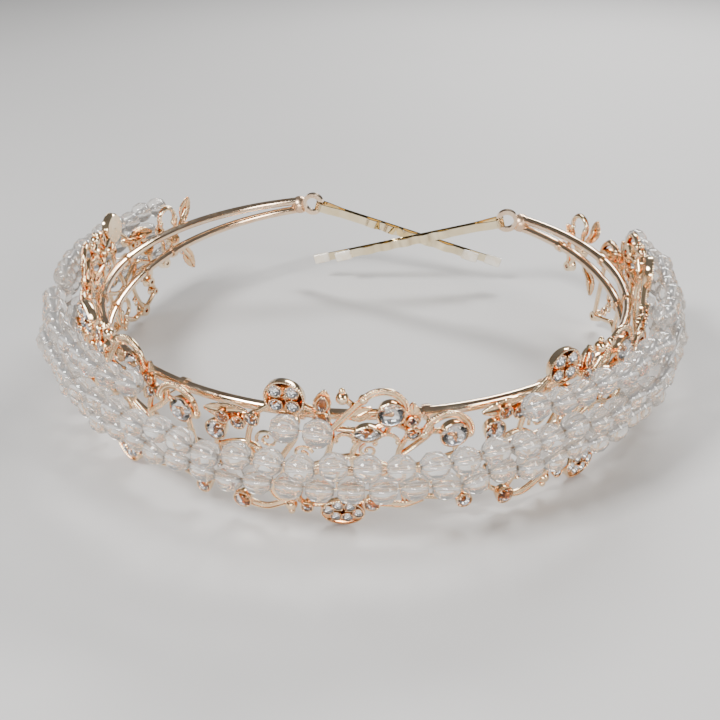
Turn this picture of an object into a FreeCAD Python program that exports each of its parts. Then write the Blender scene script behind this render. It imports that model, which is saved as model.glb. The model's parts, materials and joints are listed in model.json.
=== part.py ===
import FreeCAD, Part
import math
import os

import Sketcher

# A bridal tiara: an open ring of two gold wires that carries cast filigree units, crystal beads
# strung on fine wire in front of them, and a hair grip hanging from the eye at each end.
#
# Frame: the ring's centre is on the Z axis and Z = 0 is the table it stands on. The front of the
# ring is at -Y and its gap at +Y. An angle round the ring is 0 at the front and grows towards +X.

DIMENSIONS = (
    # the two wires of the band
    ("band_radius", 60.0),
    ("band_wire", 2.1),
    ("end_angle", 149.0),
    ("upper_height", 22.0),
    ("lower_front_height", 9.2),
    ("lower_end_height", 19.7),
    # the ring at each end that a hair grip hooks into
    ("eye_outer", 6.0),
    ("eye_inner", 3.8),
    ("eye_width", 1.8),
    ("eye_height", 21.3),
    ("solder_size", 4.9),
    ("solder_setback", 0.3),
    # hair grips
    ("strip_width", 2.2),
    ("strip_thickness", 0.5),
    ("bend_radius", 1.6),
    ("bend_centre", 2.55),
    ("leg_gap", 0.9),
    ("long_leg", 55.0),
    ("crimped_leg", 48.3),
    ("crimp_pitch", 5.4),
    ("crimp_depth", 0.42),
    ("left_heading", 5.0),
    ("right_heading", 185.0),
    ("droop", 15.7),
    ("tip_length", 4.6),
    ("tip_width", 2.8),
    ("tip_thickness", 1.1),
    # cast units
    ("unit_pitch", 46.0),
    ("middle_unit_angle", 7.0),
    ("casting_back", 62.4),
    ("casting_face", 64.4),
    ("stem_wire", 1.2),
    ("rib_wire", 1.5),
    ("setting_wall", 0.35),
    ("pocket_depth", 0.9),
    ("lean_pivot_radius", 64.0),
    ("lean_pivot_height", 1.0),
    # beads
    ("bead_diameter", 5.4),
    ("bead_length", 4.9),
    ("bead_hole", 1.2),
    ("beads_per_pitch", 10.0),
    ("strand_wire", 0.3),
    # ties
    ("tie_wire", 0.4),
    ("tie_coil_length", 1.3),
    ("tie_clearance", 0.12),
)

LEANS = {-2: 0.6, -1: 4.0, 0: 8.0, 1: 4.0, 2: 0.0}
UNIT_NAMES = {-2: "side_left", -1: "front_left", 0: "centre", 1: "front_right", 2: "side_right"}
SPRAY_ANGLES = {"rear_left": -112.5, "rear_right": 131.0}

doc = FreeCAD.newDocument("bridal_tiara")
sheet = doc.addObject("Spreadsheet::Sheet", "dimensions")
for row, (alias, value) in enumerate(DIMENSIONS, start=1):
    sheet.set(f"A{row}", alias)
    sheet.set(f"B{row}", str(value))
    sheet.setAlias(f"B{row}", alias)
doc.recompute()

sub_parts = []


def size(alias):
    return float(sheet.get(alias))


def keep(item, label):
    """Lists a finished sub-part under the name of its node."""
    item.Label = label
    sub_parts.append(item)
    return item


def keep_shape(label, shape, placement=None):
    """A sub-part whose outline is worked out here from the sheet's sizes."""
    feature = doc.addObject("Part::Feature", label)
    feature.Shape = shape
    if placement is not None:
        feature.Placement = placement
    return keep(feature, label)


def turn(axis, degrees):
    return FreeCAD.Placement(FreeCAD.Vector(0, 0, 0), FreeCAD.Rotation(axis, degrees))


def shift(x, y, z):
    return FreeCAD.Placement(FreeCAD.Vector(x, y, z), FreeCAD.Rotation())


AXIS_X = FreeCAD.Vector(1, 0, 0)
AXIS_Y = FreeCAD.Vector(0, 1, 0)
AXIS_Z = FreeCAD.Vector(0, 0, 1)


def ring_point(angle, height, radius):
    turned = math.radians(angle)
    return FreeCAD.Vector(radius * math.sin(turned), -radius * math.cos(turned), height)


def leaned(height, radius, lean):
    """Height and radius of a point of the ornament when it leans out by lean degrees."""
    out = radius - size("lean_pivot_radius")
    up = height - size("lean_pivot_height")
    cosine = math.cos(math.radians(lean))
    sine = math.sin(math.radians(lean))
    return (size("lean_pivot_height") + up * cosine - out * sine,
            size("lean_pivot_radius") + out * cosine + up * sine)


def leaned_point(angle, height, radius, lean):
    return ring_point(angle, *leaned(height, radius, lean))


def on_ring(angle, height, radius):
    """Frame of a flat piece on the ring: local X along the ring, Y up, and Z outwards."""
    upright = turn(AXIS_X, 90)
    seat = FreeCAD.Placement(FreeCAD.Vector(0, -radius, height), upright.Rotation)
    return turn(AXIS_Z, angle) * seat


def unit_angle(index):
    return size("middle_unit_angle") + index * size("unit_pitch")


def unit_placement(index):
    """Leans a cast unit that was drawn at the front, and turns it to its place on the ring."""
    pivot = (0, -size("lean_pivot_radius"), size("lean_pivot_height"))
    lean = shift(*pivot) * turn(AXIS_X, LEANS[index]) * shift(*(-v for v in pivot))
    return turn(AXIS_Z, unit_angle(index)) * lean


def rod(start, end, diameter):
    return Part.makeCylinder(diameter / 2, (end - start).Length, start, end - start)


def ball(centre, diameter):
    return Part.makeSphere(diameter / 2, centre)


def placed(shape, placement):
    moved = shape.copy()
    moved.Placement = placement * moved.Placement
    return moved


def one_solid(shape, label):
    if len(shape.Solids) != 1:
        raise ValueError(f"{label} came out as {len(shape.Solids)} solids")
    return shape.Solids[0]


KNUCKLE = 1.08


def chain(points, diameter):
    """A wire in straight runs, with a slightly thicker round knuckle at each corner and end."""
    pieces = [ball(point, KNUCKLE * diameter) for point in points]
    pieces += [rod(a, b, diameter) for a, b in zip(points, points[1:])]
    return pieces[0].fuse(pieces[1:])


# ---------------------------------------------------------------- the band


def band_wire_body(label):
    """A round wire bent to an open ring: a circle turned about the Z axis, even about -Y."""
    body = doc.addObject("PartDesign::Body", label)
    sketch = body.newObject("Sketcher::SketchObject", label + "_section")
    side_plane = [f for f in body.Origin.OriginFeatures if f.Role == "YZ_Plane"][0]
    sketch.AttachmentSupport = [(side_plane, "")]
    sketch.MapMode = "FlatFace"
    centre = FreeCAD.Vector(-size("band_radius"), 0, 0)
    circle = sketch.addGeometry(Part.Circle(centre, AXIS_Z, size("band_wire") / 2), False)
    sketch.addConstraint(Sketcher.Constraint("Radius", circle, size("band_wire") / 2))
    sketch.renameConstraint(0, "wire_radius")
    sketch.addConstraint(Sketcher.Constraint("PointOnObject", circle, 3, -1))
    sketch.addConstraint(Sketcher.Constraint("DistanceX", circle, 3, -1, 1, size("band_radius")))
    sketch.renameConstraint(2, "ring_radius")
    sketch.setExpression("Constraints.wire_radius", "dimensions.band_wire / 2")
    sketch.setExpression("Constraints.ring_radius", "dimensions.band_radius")
    doc.recompute()
    ring = body.newObject("PartDesign::Revolution", label + "_ring")
    ring.Profile = sketch
    ring.ReferenceAxis = (sketch, ["V_Axis"])
    ring.Midplane = True
    ring.setExpression("Angle", "2 * dimensions.end_angle")
    return keep(body, label)


upper_band_wire = band_wire_body("upper_band_wire")
upper_band_wire.setExpression("Placement.Base.z", "dimensions.upper_height")

# the lower wire's ring tips up at the back until its ends lie against the upper wire
lower_rise = "(dimensions.lower_end_height - dimensions.lower_front_height)"
lower_run = "(dimensions.band_radius * (1 - cos(dimensions.end_angle * 1 deg)))"
lower_band_wire = band_wire_body("lower_band_wire")
lower_band_wire.Placement.Rotation = FreeCAD.Rotation(AXIS_X, 5)
lower_band_wire.setExpression("Placement.Rotation.Angle", f"atan({lower_rise} / {lower_run})")
lower_band_wire.setExpression(
    "Placement.Base.z",
    f"dimensions.lower_front_height + dimensions.band_radius * {lower_rise} / {lower_run}",
)
doc.recompute()


# ---------------------------------------------------------------- end eyes and solder


def grip_heading(side):
    """Direction in which a grip hangs from its eye, counted from +X."""
    return size("left_heading") if side < 0 else size("right_heading")


def eye_placement(side):
    """The eye stands in the upright plane of its grip, beyond the end of the upper wire."""
    end = ring_point(side * size("end_angle"), size("eye_height"), size("band_radius"))
    reach = size("eye_outer") / 2 + size("band_wire") / 4
    facing = FreeCAD.Rotation(AXIS_Z, grip_heading(side))
    centre = end + facing.multVec(AXIS_X) * reach
    return FreeCAD.Placement(centre, facing * FreeCAD.Rotation(AXIS_X, 90))


def end_eye(label, side):
    outer = doc.addObject("Part::Cylinder", label + "_outer")
    inner = doc.addObject("Part::Cylinder", label + "_hole")
    outer.setExpression("Radius", "dimensions.eye_outer / 2")
    inner.setExpression("Radius", "dimensions.eye_inner / 2")
    for cylinder in (outer, inner):
        cylinder.setExpression("Height", "dimensions.eye_width")
        cylinder.setExpression("Placement.Base.z", "-dimensions.eye_width / 2")
    eye = doc.addObject("Part::Cut", label)
    eye.Base = outer
    eye.Tool = inner
    eye.Placement = eye_placement(side)
    return keep(eye, label)


def solder_joint(label, side):
    """The bead of solder over both wire ends, hollowed where it lies against the eye."""
    middle = (size("upper_height") + size("lower_end_height")) / 2
    setback = math.degrees(size("solder_setback") / size("band_radius"))
    seat = on_ring(side * (size("end_angle") - setback), middle, size("band_radius"))
    bead = placed(ball(FreeCAD.Vector(0, 0, 0), size("solder_size")), seat * turn(AXIS_Z, 90))
    reach = 2 * size("solder_size")
    eye_room = Part.makeCylinder(size("eye_outer") / 2, reach, FreeCAD.Vector(0, 0, -reach / 2))
    eye_room = placed(eye_room, eye_placement(side))
    joint = bead.cut([upper_band_wire.Shape, lower_band_wire.Shape, eye_room])
    return keep_shape(label, one_solid(joint, label))


for name, side in (("left", -1), ("right", 1)):
    end_eye(name + "_end_eye", side)
    solder_joint(name + "_solder_joint", side)


# ---------------------------------------------------------------- hair grips


def strip_sweep(path):
    """The grip's flat strip, broad face upright, carried along a flat path of lines and arcs."""
    start = path.Edges[0].valueAt(path.Edges[0].FirstParameter)
    along = path.Edges[0].tangentAt(path.Edges[0].FirstParameter)
    across = FreeCAD.Vector(0, 0, 1).cross(along)
    half_width = size("strip_width") / 2
    half_thickness = size("strip_thickness") / 2
    corners = [start + across * (u * half_thickness) + AXIS_Z * (v * half_width)
               for u, v in ((-1, -1), (1, -1), (1, 1), (-1, 1), (-1, -1))]
    sweep = Part.BRepOffsetAPI.MakePipeShell(path)
    sweep.setBiNormalMode(AXIS_Z)
    sweep.add(Part.makePolygon(corners))
    sweep.build()
    sweep.makeSolid()
    return sweep.shape()


def line(a, b):
    return Part.LineSegment(FreeCAD.Vector(*a, 0), FreeCAD.Vector(*b, 0)).toShape()


def arc(a, b, c):
    return Part.Arc(*(FreeCAD.Vector(*point, 0) for point in (a, b, c))).toShape()


def ease(start, end):
    """Two equal arcs that carry a leg from one side line to another, level at both ends."""
    (x0, y0), (x1, y1) = start, end
    run = (x1 - x0) / 2
    rise = (y1 - y0) / 2
    radius = (run * run + rise * rise) / (2 * abs(rise))
    half_turn = math.asin(run / radius) / 2
    sag = radius * (1 - math.cos(half_turn)) * math.copysign(1, rise)
    ahead = radius * math.sin(half_turn)
    middle = (x0 + run, y0 + rise)
    return [arc(start, (x0 + ahead, y0 + sag), middle),
            arc(middle, (x1 - ahead, y1 - sag), end)]


LEG_CLOSED_AT = 10.0
CRIMPS_FROM = 15.0
CRIMP_COUNT = 5
TIP_FLARE = 0.5


def long_leg_path(lean_side):
    """U-bend about the eye and the straight leg. lean_side is +1 where it lies at +Y."""
    bend = size("bend_radius")
    centre = size("bend_centre")
    inner = (size("leg_gap") + size("strip_thickness")) / 2
    turn_in = [arc((centre, -lean_side * bend), (centre - bend, 0), (centre, lean_side * bend))]
    easing = ease((centre, lean_side * bend), (LEG_CLOSED_AT, lean_side * inner))
    straight = [line((LEG_CLOSED_AT, lean_side * inner), (size("long_leg"), lean_side * inner))]
    return Part.Wire(turn_in + easing + straight)


def crimped_leg_path(lean_side):
    """The springy leg: it closes, waves five times, and its tip flares away from the other leg."""
    bend = size("bend_radius")
    centre = size("bend_centre") + 0.05
    inner = (size("leg_gap") + size("strip_thickness")) / 2
    far = lean_side * (inner + size("crimp_depth"))
    near = lean_side * (inner - size("crimp_depth") / 2)
    level = lean_side * inner
    edges = ease((centre, lean_side * bend), (LEG_CLOSED_AT, level))
    edges.append(line((LEG_CLOSED_AT, level), (CRIMPS_FROM, level)))
    at = (CRIMPS_FROM, level)
    half = size("crimp_pitch") / 2
    for _ in range(CRIMP_COUNT):
        for side_line in (far, near):
            reach = (at[0] + half, side_line)
            edges += ease(at, reach)
            at = reach
    settled = (at[0] + half, level)
    edges += ease(at, settled)
    flare_start = (size("crimped_leg") - 3.0, level)
    edges.append(line(settled, flare_start))
    edges += ease(flare_start, (size("crimped_leg"), level + lean_side * TIP_FLARE))
    return Part.Wire(edges)


def tip_block(reach, middle):
    """The rounded drop of lacquer that a leg's end was dipped in, before the leg is taken out."""
    length = size("tip_length")
    width = size("tip_width")
    thickness = size("tip_thickness")
    corner = FreeCAD.Vector(reach - length + 0.6, middle - thickness / 2, -width / 2)
    block = Part.makeBox(length, thickness, width, corner)
    return block.makeFillet(thickness * 0.4, block.Edges)


def grip_placement(side):
    """Local +X runs from the eye down to the tips, and +Y is across the legs."""
    facing = FreeCAD.Rotation(AXIS_Z, grip_heading(side))
    lowered = facing * FreeCAD.Rotation(AXIS_Y, size("droop"))
    return FreeCAD.Placement(eye_placement(side).Base, lowered)


for name, side in (("left", -1), ("right", 1)):
    front = side
    place = grip_placement(side)
    long_leg = strip_sweep(long_leg_path(-front))
    crimped_leg = strip_sweep(crimped_leg_path(front))
    inner = (size("leg_gap") + size("strip_thickness")) / 2
    long_tip = tip_block(size("long_leg"), -front * inner).cut(long_leg)
    crimped_middle = front * (inner + TIP_FLARE)
    crimped_tip = tip_block(size("crimped_leg"), crimped_middle).cut([crimped_leg, long_leg])
    keep_shape(name + "_grip_long_leg", long_leg, place)
    keep_shape(name + "_grip_crimped_leg", crimped_leg, place)
    keep_shape(name + "_grip_long_leg_tip", long_tip, place)
    keep_shape(name + "_grip_crimped_leg_tip", crimped_tip, place)


# ---------------------------------------------------------------- cast units and their stones
# Places on a unit are (degrees from its middle, height). Round stones add a diameter, and a
# marquise adds its length, its width and the slope of its length.

LARGE_STONES = ((-18.4, 19.0, 3.8), (11.0, 26.5, 4.6), (21.4, 20.3, 4.8), (-14.7, 3.0, 3.1),
                (-18.0, 9.6, 2.4), (7.8, 5.4, 2.6), (23.6, 3.5, 2.5), (0.1, 25.6, 2.6))
SMALL_STONES = ((-16.8, 22.6, 2.2), (-14.0, 22.0, 2.2), (-11.5, 23.4, 2.2), (14.4, 24.6, 1.6),
                (14.4, 21.8, 2.2), (-3.1, 4.0, 1.8), (-4.4, 23.9, 1.6), (-19.1, 6.5, 1.8))
MARQUISES = ((7.3, 22.3, 5.0, 2.9, 0.0), (0.2, 28.8, 3.2, 1.7, 80.0))
DISC = (-5.8, 29.3, 7.6)
DISC_STONE = 2.3
DISC_STONE_OFFSET = 1.55
PAVE_PLATE = (2.9, 3.1, 8.6, 6.2)
PAVE_STONE = 1.9
PAVE_PLACES = ((-2.75, 0.55), (-0.9, 1.75), (1.35, 1.55), (2.9, 0.0), (-1.3, -0.85), (0.9, -1.0))
BALLS = ((3.4, 29.9, 2.4), (3.4, 31.4, 1.2), (-6.0, 3.6, 2.4), (-6.0, 2.0, 1.4))
# centre, radius, tube, first and last direction of the curl, counted from the tangent
SCROLLS = ((9.6, 27.2, 4.12, 1.5, -12.0, 142.0), (20.2, 20.4, 4.38, 1.5, -10.0, 170.0),
           (-6.9, 7.2, 2.5, 1.2, 0.0, 360.0), (3.6, 20.2, 1.7, 0.9, 0.0, 180.0),
           (10.3, 19.6, 2.1, 0.9, 0.0, 180.0))
# centre, length, width, slope
LEAVES = ((6.0, 26.6, 4.6, 2.8, 20.0), (14.4, 25.0, 6.0, 3.0, 85.0), (-16.7, 23.5, 9.0, 3.0, 10.0),
          (0.2, 28.7, 5.2, 3.0, 80.0))
# the broad ribs: the straight foot of the tall arch, and the two curves of the lower edge
RIBS = (((1.6, 23.0), (6.2, 29.1)),
        ((-14.7, 3.0), (-10.4, 2.1), (-5.6, 5.4)),
        ((7.8, 5.4), (13.5, 4.3), (16.4, 5.6)))
# the stems that the ties hold, each one from the top down
LEFT_UPPER_STEM = ((-4.4, 23.9), (-4.6, 20.0), (-7.4, 14.0), (-6.9, 9.7))
LEFT_LOWER_STEM = ((-11.5, 23.4), (-13.0, 17.0), (-11.2, 10.8), (-14.7, 3.0))
RIGHT_LOWER_STEM = ((7.3, 22.3), (4.6, 16.5), (6.0, 10.0), (2.9, 4.4))
RIGHT_UPPER_STEM = ((17.3, 23.4), (17.3, 20.6), (12.2, 16.0))
STEMS = (
    LEFT_UPPER_STEM,
    LEFT_LOWER_STEM,
    RIGHT_LOWER_STEM,
    RIGHT_UPPER_STEM,
    ((-18.0, 9.6), (-19.1, 6.5), (-14.7, 3.0)),
    ((-4.8, 7.2), (-3.1, 4.0), (7.8, 5.4)),
    ((16.4, 5.6), (23.6, 3.5)),
    ((-18.4, 19.0), (-16.8, 22.6), (-14.0, 22.0), (-5.8, 29.3)),
    ((-5.8, 29.3), (0.1, 25.6), (1.6, 23.0), (7.3, 22.3)),
    ((0.1, 25.6), (0.2, 28.8)),
    ((3.4, 29.9), (5.1, 28.0)),
    ((6.0, 26.6), (11.0, 26.5)),
    ((7.3, 22.3), (11.0, 23.9), (14.4, 21.8)),
    ((14.4, 21.8), (21.4, 20.3)),
    ((10.3, 21.7), (11.0, 23.9)),
    ((13.3, 26.6), (14.4, 24.6)),
    ((14.4, 24.6), (14.4, 21.8)),
    ((-18.4, 19.0), (-19.0, 14.5), (-18.0, 9.6)),
    ((-5.8, 29.3), (-4.4, 23.9)),
    ((0.1, 25.6), (1.4, 20.0), (-3.1, 4.0)),
    ((14.4, 21.8), (12.2, 16.0), (13.5, 4.3)),
    ((21.4, 20.3), (23.6, 3.5)),
    ((-19.0, 14.5), (-13.0, 17.0), (-5.6, 12.6), (4.6, 16.5), (12.8, 13.2), (22.1, 15.0)),
)
BALL_FOOT = ((-6.0, 3.6), (-6.3, 5.2))
STEM_SINK = 0.09


def stem_radius():
    """Radius of the stems' middle line, which lies just inside the castings' back face."""
    return size("casting_back") + size("stem_wire") / 2 + STEM_SINK


def rib_radius():
    """Radius of the ribs' and scrolls' middle line, halfway through the castings."""
    return (size("casting_back") + size("casting_face")) / 2


def setting(angle, height, diameter):
    """The cup that holds a round stone."""
    depth = size("casting_face") - size("casting_back")
    cup = Part.makeCylinder(diameter / 2 + size("setting_wall"), depth)
    return placed(cup, on_ring(angle, height, size("casting_back")))


def pocket(angle, height, diameter, dx=0.0, dy=0.0):
    """The room for a round stone in the face of a casting."""
    depth = size("pocket_depth")
    room = Part.makeCylinder(diameter / 2 + 0.03, depth + 1.5, FreeCAD.Vector(dx, dy, 0))
    return placed(room, on_ring(angle, height, size("casting_face") - depth))


def round_stone(angle, height, diameter, dx=0.0, dy=0.0):
    """A round chaton: flat-bottomed pavilion, girdle and crown, standing in its pocket."""
    girdle = diameter / 2
    pavilion_height = 0.7 * size("pocket_depth")
    outline = [(0, 0), (0.45 * girdle, 0), (girdle, pavilion_height),
               (girdle, pavilion_height + 0.12 * girdle),
               (0.58 * girdle, pavilion_height + 0.42 * girdle),
               (0, pavilion_height + 0.42 * girdle), (0, 0)]
    profile = Part.Face(Part.makePolygon([FreeCAD.Vector(r, 0, h) for r, h in outline]))
    stone = profile.revolve(FreeCAD.Vector(0, 0, 0), AXIS_Z, 360)
    stone.translate(FreeCAD.Vector(dx, dy, 0))
    return placed(stone, on_ring(angle, height, size("casting_face") - size("pocket_depth")))


def oval_plate(length, width, thickness, slope):
    """An upright leaf blank: an ellipse given a thickness."""
    rim = Part.Ellipse(FreeCAD.Vector(0, 0, 0), length / 2, width / 2).toShape()
    plate = Part.Face(Part.Wire([rim])).extrude(FreeCAD.Vector(0, 0, thickness))
    return placed(plate, turn(AXIS_Z, slope))


def lens_outline(length, width):
    """The pointed oval of a marquise, as two arcs."""
    tips = (FreeCAD.Vector(-length / 2, 0, 0), FreeCAD.Vector(length / 2, 0, 0))
    top = Part.Arc(tips[0], FreeCAD.Vector(0, width / 2, 0), tips[1]).toShape()
    bottom = Part.Arc(tips[1], FreeCAD.Vector(0, -width / 2, 0), tips[0]).toShape()
    return Part.Wire([top, bottom])


def marquise_solid(length, width, thickness, slope, start=0.0):
    solid = Part.Face(lens_outline(length, width)).extrude(FreeCAD.Vector(0, 0, thickness))
    solid.translate(FreeCAD.Vector(0, 0, start))
    return placed(solid, turn(AXIS_Z, slope))


def marquise_stone(angle, height, length, width, slope):
    """A long pointed stone: a girdle slab with a smaller raised table."""
    depth = size("pocket_depth")
    slab = marquise_solid(length, width, depth, slope)
    table = marquise_solid(0.6 * length, 0.55 * width, 0.4, slope, depth - 0.01)
    return placed(slab.fuse(table), on_ring(angle, height, size("casting_face") - depth))


def scroll(angle, height, radius, tube, first, last):
    """A curl of round section, flat against the ring."""
    if last - first >= 360:
        curl = Part.makeTorus(radius, tube / 2)
    else:
        curl = Part.makeTorus(radius, tube / 2, FreeCAD.Vector(0, 0, 0), AXIS_Z, -180, 180,
                              last - first)
        curl = placed(curl, turn(AXIS_Z, first))
        starts = [FreeCAD.Vector(radius * math.cos(math.radians(a)),
                                 radius * math.sin(math.radians(a)), 0) for a in (first, last)]
        curl = curl.fuse([ball(point, tube * 1.12) for point in starts])
    return placed(curl, on_ring(angle, height, rib_radius()))


def disc_offsets():
    return [(sx * DISC_STONE_OFFSET, sy * DISC_STONE_OFFSET) for sx in (-1, 1) for sy in (-1, 1)]


def unit_casting():
    """One cast filigree unit, drawn upright at the front of the ring."""
    depth = size("casting_face") - size("casting_back")
    stems = [chain([ring_point(a, z, stem_radius()) for a, z in stem], size("stem_wire"))
             for stem in STEMS + (BALL_FOOT,)]
    ribs = [chain([ring_point(a, z, rib_radius()) for a, z in rib], size("rib_wire"))
            for rib in RIBS]
    cups = [setting(*stone) for stone in LARGE_STONES + SMALL_STONES]
    angle, height, diameter = DISC
    plates = [placed(Part.makeCylinder(diameter / 2, depth),
                     on_ring(angle, height, size("casting_back")))]
    angle, height, length, width = PAVE_PLATE
    plates.append(placed(oval_plate(length, width, depth, 0),
                         on_ring(angle, height, size("casting_back"))))
    for angle, height, length, width, slope in LEAVES:
        plates.append(placed(oval_plate(length, width, 1.2, slope),
                             on_ring(angle, height, size("casting_back") + 0.35)))
    for angle, height, length, width, slope in MARQUISES:
        plates.append(placed(marquise_solid(length + 1.2, width + 0.8, depth, slope),
                             on_ring(angle, height, size("casting_back"))))
    curls = [scroll(*curl) for curl in SCROLLS]
    balls = [ball(ring_point(a, z, rib_radius()), d) for a, z, d in BALLS]
    pieces = stems + ribs + cups + plates + curls + balls
    solid = pieces[0].fuse(pieces[1:])
    rooms = [pocket(*stone) for stone in LARGE_STONES + SMALL_STONES]
    rooms += [pocket(DISC[0], DISC[1], DISC_STONE, dx, dy) for dx, dy in disc_offsets()]
    rooms += [pocket(PAVE_PLATE[0], PAVE_PLATE[1], PAVE_STONE, dx, dy) for dx, dy in PAVE_PLACES]
    for angle, height, length, width, slope in MARQUISES:
        room = marquise_solid(length + 0.1, width + 0.06, size("pocket_depth") + 1.5, slope)
        seat = size("casting_face") - size("pocket_depth")
        rooms.append(placed(room, on_ring(angle, height, seat)))
    return solid.cut(rooms)


def unit_pave_stones():
    stones = [round_stone(*stone) for stone in SMALL_STONES]
    stones += [round_stone(DISC[0], DISC[1], DISC_STONE, dx, dy) for dx, dy in disc_offsets()]
    stones += [round_stone(PAVE_PLATE[0], PAVE_PLATE[1], PAVE_STONE, dx, dy)
               for dx, dy in PAVE_PLACES]
    return Part.makeCompound(stones)


casting = one_solid(unit_casting(), "the cast unit")
large_stones = Part.makeCompound([round_stone(*stone) for stone in LARGE_STONES])
pave_stones = unit_pave_stones()
marquises = Part.makeCompound([marquise_stone(*stone) for stone in MARQUISES])
for index, name in UNIT_NAMES.items():
    place = unit_placement(index)
    keep_shape(name + "_casting", casting, place)
    keep_shape(name + "_round_stones", large_stones, place)
    keep_shape(name + "_pave_stones", pave_stones, place)
    keep_shape(name + "_marquise_stones", marquises, place)


# ---------------------------------------------------------------- leaf sprays at the two ends

SPRAY_STONES = ((0.0, 18.0, 3.2), (3.4, 12.6, 2.6))
SPRAY_LEAVES = ((4.0, 21.6, 5.0, 2.6, 60.0), (-4.5, 25.0, 7.0, 3.2, 110.0),
                (-4.6, 11.4, 7.0, 3.2, 250.0))
SPRAY_TIED_STEM = ((4.0, 21.6), (3.4, 12.6))
SPRAY_STEMS = (SPRAY_TIED_STEM, ((0.0, 18.0), (4.0, 21.6)), ((0.0, 18.0), (-4.5, 25.0)),
               ((0.0, 18.0), (3.4, 12.6)), ((0.0, 18.0), (-4.6, 11.4)),
               ((0.0, 18.0), (-1.1, 24.0)))
SPRAY_SCROLL = (1.3, 24.4, 2.7, 1.3, -20.0, 220.0)


def end_spray():
    """A three-leaf spray that finishes the ornament, drawn upright at the front."""
    stems = [chain([ring_point(a, z, stem_radius()) for a, z in stem], size("stem_wire"))
             for stem in SPRAY_STEMS]
    cups = [setting(*stone) for stone in SPRAY_STONES]
    leaves = [placed(oval_plate(length, width, 1.2, slope),
                     on_ring(angle, height, size("casting_back") + 0.35))
              for angle, height, length, width, slope in SPRAY_LEAVES]
    pieces = stems + cups + leaves + [scroll(*SPRAY_SCROLL)]
    rooms = [pocket(*stone) for stone in SPRAY_STONES]
    return pieces[0].fuse(pieces[1:]).cut(rooms)


spray = one_solid(end_spray(), "the end spray")
spray_stones = Part.makeCompound([round_stone(*stone) for stone in SPRAY_STONES])
for name, angle in SPRAY_ANGLES.items():
    keep_shape(name + "_spray", spray, turn(AXIS_Z, angle))
    keep_shape(name + "_spray_stones", spray_stones, turn(AXIS_Z, angle))


# ---------------------------------------------------------------- beads and their stringing wire
# Rows of beads: height and radius of the row's middle line, and its start in bead pitches.

ROWS = ((13.4, 68.7, 0.0), (19.9, 70.4, 0.5), (25.8, 68.4, 0.0))
# for each section, the first bead and the number of beads of each row, counted from its middle
SECTION_ROWS = {
    -2: ((-6, 11), (-6, 11), (-6, 10)),
    -1: ((-5, 10), (-5, 10), (-5, 9)),
    0: ((-5, 10), (-5, 10), (-1, 2)),
    1: ((-5, 10), (-5, 10), (-3, 8)),
    2: ((-5, 10), (-5, 10), (-4, 9)),
}
SETTLE = 0.4
FULL_LEAN_SPAN = 18.0


def lean_at(angle):
    """Lean of the bead rows: that of the unit behind, eased over the gap between two units."""
    place = (angle - size("middle_unit_angle")) / size("unit_pitch")
    low = max(-2, min(2, math.floor(place)))
    high = max(-2, min(2, low + 1))
    edge = FULL_LEAN_SPAN / size("unit_pitch")
    share = (place - low - edge) / (1 - 2 * edge)
    share = max(0.0, min(1.0, share))
    return LEANS[low] * (1 - share) + LEANS[high] * share


def bead_centre(row, index, number):
    """Centre of a bead, a little off its row the way hand-strung beads settle."""
    height, radius, start = ROWS[row]
    pitch = size("unit_pitch") / size("beads_per_pitch")
    angle = unit_angle(index) + (number + start) * pitch
    order = index * size("beads_per_pitch") + number
    height += SETTLE * math.sin(2.3 * order + 1.7 * row)
    radius += SETTLE * math.sin(1.9 * order + 2.9 * row)
    return leaned_point(angle, height, radius, lean_at(angle))


def bead_blank():
    """A cut crystal bead, drilled along X."""
    half = size("bead_length") / 2
    girth = size("bead_diameter") / 2
    hole = size("bead_hole") / 2
    outline = [(-half, hole), (-half, 0.5 * girth), (-0.7 * half, 0.82 * girth),
               (-0.22 * half, girth), (0.22 * half, girth), (0.7 * half, 0.82 * girth),
               (half, 0.5 * girth), (half, hole), (-half, hole)]
    profile = Part.Face(Part.makePolygon([FreeCAD.Vector(x, r, 0) for x, r in outline]))
    return profile.revolve(FreeCAD.Vector(0, 0, 0), AXIS_X, 360)


def strand(row, index):
    first, count = SECTION_ROWS[index][row]
    return [bead_centre(row, index, number) for number in range(first, first + count)]


def strand_beads(blank, points):
    """Beads on a strand: each hole lies along the line between its neighbours."""
    beads = []
    for number, point in enumerate(points):
        before = points[max(0, number - 1)]
        after = points[min(len(points) - 1, number + 1)]
        turned = FreeCAD.Rotation(AXIS_X, after - before)
        beads.append(placed(blank, FreeCAD.Placement(point, turned)))
    return beads


def strand_line(points):
    """The stringing wire, which runs on a little past the strand's two end beads."""
    tail = 0.53 * size("bead_length")
    first = points[0] + (points[0] - points[1]).normalize() * tail
    last = points[-1] + (points[-1] - points[-2]).normalize() * tail
    return bent_wire([first] + points + [last], size("strand_wire"))


def bent_wire(points, diameter):
    """A wire in straight runs with mitred corners."""
    section = Part.Circle(points[0], points[1] - points[0], diameter / 2).toShape()
    sweep = Part.BRepOffsetAPI.MakePipeShell(Part.makePolygon(points))
    sweep.setTransitionMode(1)
    sweep.add(Part.Wire([section]))
    sweep.build()
    sweep.makeSolid()
    return sweep.shape()


bead = bead_blank()
for index, name in UNIT_NAMES.items():
    strands = [strand(row, index) for row in range(len(ROWS))]
    beads = [item for points in strands for item in strand_beads(bead, points)]
    keep_shape(name + "_beads", Part.makeCompound(beads))
    wires = [strand_line(points) for points in strands]
    keep_shape(name + "_stringing_wires", Part.makeCompound(wires))


# ---------------------------------------------------------------- wire ties to the band
# Each tie runs level from its coil to the stem in front of it.

UPPER_TIES = (LEFT_UPPER_STEM, RIGHT_UPPER_STEM)
LOWER_TIES = (LEFT_LOWER_STEM, RIGHT_LOWER_STEM)


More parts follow.
